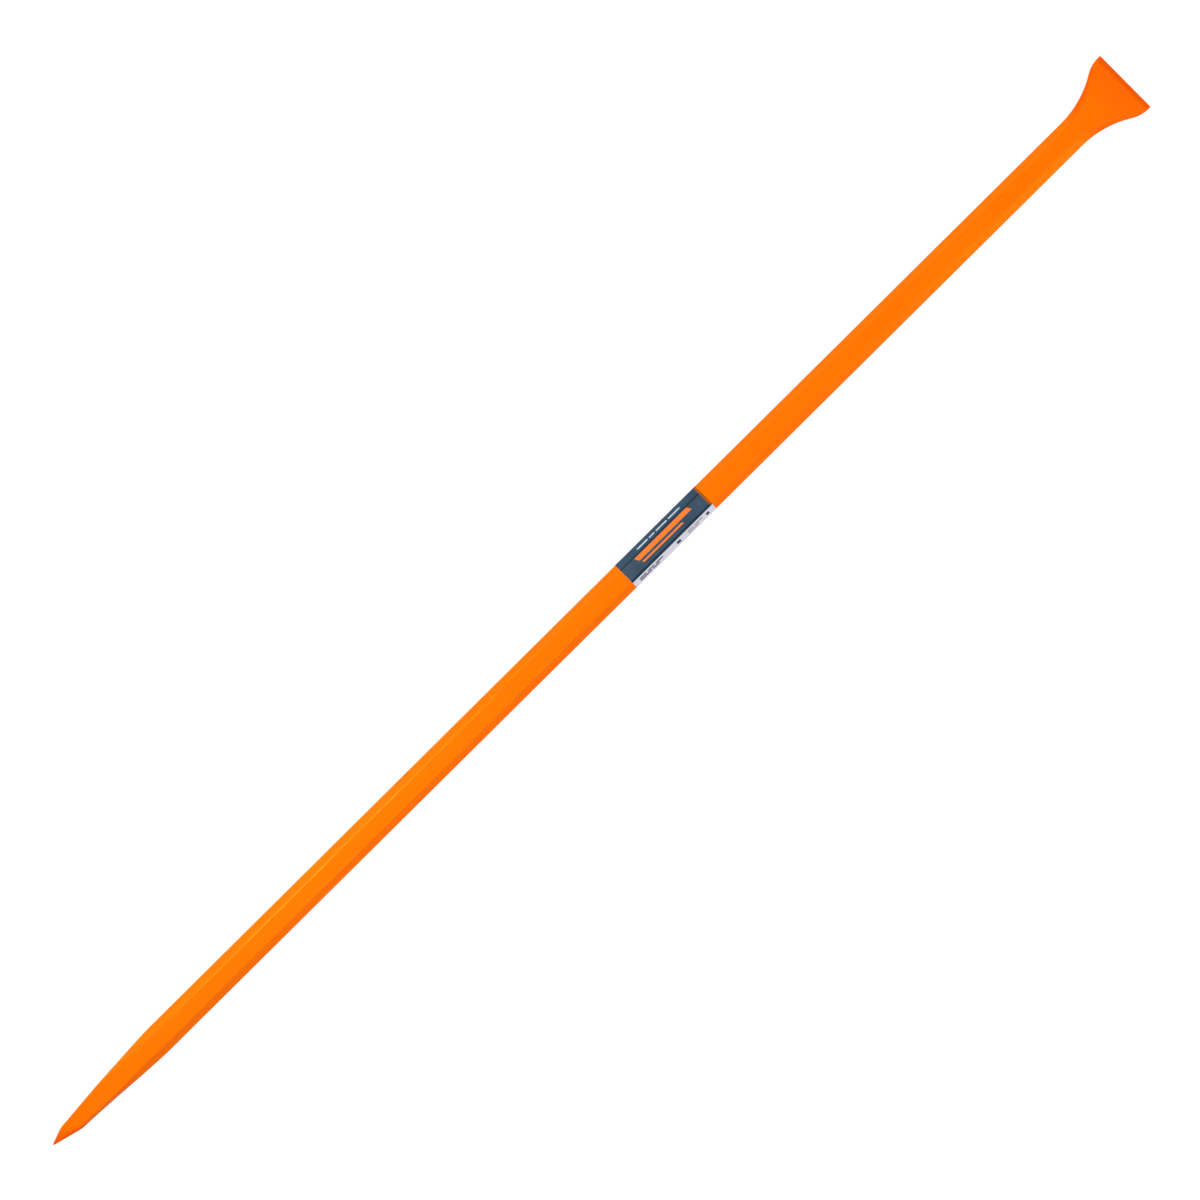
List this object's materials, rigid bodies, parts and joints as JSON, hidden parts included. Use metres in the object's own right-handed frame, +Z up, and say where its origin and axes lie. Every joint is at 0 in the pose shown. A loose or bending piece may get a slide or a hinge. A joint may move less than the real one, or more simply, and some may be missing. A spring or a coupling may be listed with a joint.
{
  "type": "digging bar",
  "caption": "Straight hexagonal steel digging bar with a hammered point at one end, a flared chisel at the other and a printed wrap label near the middle of the shank.",
  "frame": {"origin": "under the middle of the bar's length, on the flat that it lies on", "axes": "+X along the bar from the point to the chisel's cutting edge, +Z up out of the front flat that the picture shows, +Y across the bar along the cutting edge"},
  "size_m": [1.75, 0.0834, 0.0319],
  "materials": {
    "orange_enamel": "smooth orange enamel over forged steel, satin to semi-gloss",
    "label_film": "printed self-adhesive film, slate with a pale strip, satin"
  },
  "bodies": {
    "root": {"forged_bar": "orange_enamel", "wrap_label": "label_film"}
  },
  "joints": []
}
